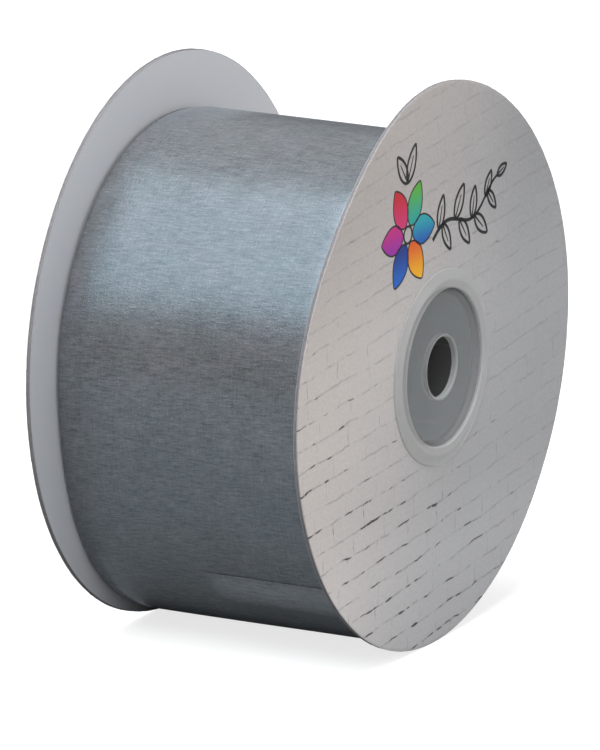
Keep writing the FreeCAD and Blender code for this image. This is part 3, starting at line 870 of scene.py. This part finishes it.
def make_ribbon(material):
    """The slack last turn, which overlaps its own start, and the free end that goes on from it."""
    path = oval_path()
    total = path[3]
    under_start = belly_length(UNDER_START_ANGLE)
    join = total + belly_length(TAIL_JOIN_ANGLE)
    tail_end = total + belly_length(TAIL_END_ANGLE)

    def lift(s, v):
        turn = (s % total) / total
        slack = 0.35 + 0.65 * math.cos(math.pi * turn) ** 2
        unlaid = 1 - min(1.0, (s - under_start) / (join - under_start))
        return OUTER_LIFT - LAYER_STEP * unlaid + ripple(s, v, slack) + edge_drop(v)

    def tail_share(s):
        return max(0.0, (s - join) / (tail_end - join))

    def tail_lift(s, v):
        past, free = tail_share(s), front_share(v)
        bulge = TAIL_BULGE * free * math.sin(math.pi * past ** 1.6) ** 2
        return lift(s, v) - TAIL_SETTLE * past - TAIL_CLING * (1 - free) * past ** 2 + bulge

    def tail_thin(s, v):
        """The clinging half of the cut end is pressed thin."""
        pressed = max(0.0, (tail_share(s) - 0.75) / 0.25)
        return 1 - (0.35 + 0.57 * (1 - front_share(v))) * pressed

    # Where the free end's front half lifts off; the material paints light on it there
    def tail_painted_lift_light(s, v):
        rise = min(1.0, max(0.0, (tail_share(s) - 0.48) / 0.20))
        return front_share(v) * rise * rise * (3 - 2 * rise)

    turn_lengths = np.append(np.arange(under_start, join, ROW_STEP), join)
    turn = ribbon_sheet("ribbon_slack_turn", turn_lengths, path, material, lift)
    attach(turn, "spool_core")
    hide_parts("ribbon_outer_turn")

    tail_lengths = np.linspace(join, tail_end, TAIL_ROWS)
    tail = ribbon_sheet("ribbon_free_end", tail_lengths, path, material, tail_lift, tail_thin, tail_painted_lift_light)
    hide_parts("ribbon_tail")
    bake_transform(tail)


WINDING_TURNS = 60
WINDING_SEGMENTS = 180
WINDING_INNER_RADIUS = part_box("core_tape")[1].z + 0.05 * MM
WINDING_FACE = RIBBON_HALF_WIDTH - 0.15 * MM
TURN_EDGE = 0.12 * MM      # thickness of each turn's edge
TURN_STAGGER = 0.10 * MM   # how far in or out it stands
TURN_VARIETY = 40          # how fast the weave's pattern changes from turn to turn


def winding_profile():
    """Closed outline of the roll as (radius, y) pairs: the turns' edges at one face, then at the other."""
    outline = []
    for side in (-1, 1):
        for ring in list(range(WINDING_TURNS + 1))[::-side]:
            radius = WINDING_INNER_RADIUS + (WINDING_RADIUS - WINDING_INNER_RADIUS) * ring / WINDING_TURNS
            for edge in (0, 1):
                stagger = TURN_STAGGER * noise.noise(Vector((ring * 3.3 + edge * 0.4, side * 5.0, 1.0)))
                outline.append((radius + (edge - 0.5) * TURN_EDGE, side * (WINDING_FACE + stagger)))
    return outline


def make_winding(material):
    """The tight turns: a roll whose two ends show the edges of its turns, each slightly in or out."""
    outline = winding_profile()
    vertices, cloth = [], []
    for k in range(WINDING_SEGMENTS):
        angle = 2 * math.pi * k / WINDING_SEGMENTS
        for radius, y in outline:
            vertices.append((radius * math.cos(angle), y + RIBBON_SHIFT, radius * math.sin(angle)))
            cloth.append((radius * angle, y, radius * TURN_VARIETY))
    faces = grid_faces(WINDING_SEGMENTS, len(outline), wrap_rows=True, wrap_columns=True)
    piece = make_piece("ribbon_roll", vertices, [face[::-1] for face in faces], material)
    keep_at_points(piece, "cloth", cloth)
    smooth_edges(piece, angle=40)
    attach(piece, "spool_core")
    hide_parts("ribbon_winding")


# ---------------------------------------------------------------- stage

CAMERA_AZIMUTH, CAMERA_ELEVATION = -61.1, 14.2     # degrees
CAMERA_DISTANCE = 1.5404   # from the spool's centre
CAMERA_LENS, CAMERA_SENSOR = 422.35, 36            # mm
AIM_BELOW_CENTRE = 4.69 * MM
AIM_LEFT_OF_CENTRE = 0.12 * MM
LIGHT_DISTANCE = 0.9       # from the spool's centre
LIGHTS = [        # name, azimuth and elevation in degrees, watts, colour, size in metres
    ("window", -80, 50.0, 6.7, (0.95, 0.98, 1.0), 0.5),
    ("back_window", -116, 56.0, 8.9, (0.90, 0.96, 1.0), 1.05),
    ("overhead", -60, 88, 7.4, (0.95, 0.98, 1.0), 0.5),
    ("front", 10, 15, 2.7, (1.0, 0.985, 0.97), 0.5),
]
FLOOR_Z = -DISC_RADIUS
FLOOR_SIZE = 12.0          # half of its side
FLOOR_GLOW = 0.76          # added to the light it throws back, for the camera only
DOME_STRENGTH = 0.53


def direction_to(azimuth, elevation):
    """Unit vector towards a place: azimuth 0 is the front disc's side (-Y), and 90 is +X."""
    a, e = math.radians(azimuth), math.radians(elevation)
    return Vector((math.sin(a) * math.cos(e), -math.cos(a) * math.cos(e), math.sin(e)))


def face_spool(thing, direction):
    """Puts a camera or light into the scene, turned to look back at the spool from this direction."""
    thing.rotation_mode = "QUATERNION"
    thing.rotation_quaternion = (-direction).to_track_quat("-Z", "Y")
    bpy.context.scene.collection.objects.link(thing)


def make_camera():
    data = bpy.data.cameras.new("camera")
    data.lens = CAMERA_LENS
    data.sensor_width = CAMERA_SENSOR
    data.clip_start, data.clip_end = 0.1, 50
    camera = bpy.data.objects.new("camera", data)
    back = direction_to(CAMERA_AZIMUTH, CAMERA_ELEVATION)
    face_spool(camera, back)
    right, up = (camera.rotation_quaternion @ Vector(axis) for axis in ((1, 0, 0), (0, 1, 0)))
    camera.location = back * CAMERA_DISTANCE - up * AIM_BELOW_CENTRE - right * AIM_LEFT_OF_CENTRE
    bpy.context.scene.camera = camera


def soft_light(name, azimuth, elevation, power, colour, size):
    """A square softbox that faces the spool from this direction."""
    data = bpy.data.lights.new(name, "AREA")
    data.size = size
    data.energy = power
    data.color = colour
    light = bpy.data.objects.new(name, data)
    direction = direction_to(azimuth, elevation)
    light.location = direction * LIGHT_DISTANCE
    face_spool(light, direction)


def make_floor():
    """A pale floor with a soft shadow. It throws little light back, so the spool's underside stays dark."""
    f = Finish("floor")
    seen = Field(f.tree, f.new("ShaderNodeLightPath").outputs["Is Camera Ray"])
    f.finish(Base_Color=f.mix((0.24, 0.24, 0.24), (0.30, 0.30, 0.30), seen), Roughness=0.9,
             Specular_IOR_Level=0.0, Emission_Color=(1.0, 1.0, 1.0), Emission_Strength=seen * FLOOR_GLOW)
    corners = [(x * FLOOR_SIZE, y * FLOOR_SIZE, FLOOR_Z) for x, y in ((-1, -1), (1, -1), (1, 1), (-1, 1))]
    floor = make_piece("floor", corners, [(0, 1, 2, 3)], f.material, smooth=False)


def make_world():
    """A dim dome, brighter overhead, that looks white behind the floor."""
    world = bpy.data.worlds.new("studio")
    bpy.context.scene.world = world
    world.use_nodes = True
    tree = world.node_tree
    direction = tree.nodes.new("ShaderNodeSeparateXYZ")
    connect(tree, tree.nodes.new("ShaderNodeTexCoord").outputs["Generated"], direction.inputs[0])
    dome = Field(tree, direction.outputs["Z"]).step(-0.1, 0.6) * DOME_STRENGTH
    seen = Field(tree, tree.nodes.new("ShaderNodeLightPath").outputs["Is Camera Ray"])
    background = tree.nodes["Background"]
    background.inputs["Color"].default_value = (1.0, 1.0, 1.0, 1.0)
    connect(tree, dome.apply("MAXIMUM", seen), background.inputs["Strength"])


def make_stage():
    make_camera()
    make_floor()
    make_world()
    for light in LIGHTS:
        soft_light(*light)
    bpy.context.scene.view_settings.view_transform = "Standard"


# ---------------------------------------------------------------- assembly

def dress_cad_objects():
    """Materials for the pieces that keep their CAD shape."""
    plastic = plug_plastic()
    finishes = {"hub_plug_front": plastic, "hub_plug_rear": plastic, "core_tube": tube_board(),
                "core_tape": tape(), "tail_tack": glue()}
    for node, material in finishes.items():
        cad_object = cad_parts[node]
        cad_object.data.materials.clear()
        cad_object.data.materials.append(material)
        smooth_edges(cad_object, angle=35)


cloth_material = ribbon()
make_discs()
make_motif()
make_ribbon(cloth_material)
make_winding(cloth_material)
dress_cad_objects()
make_stage()
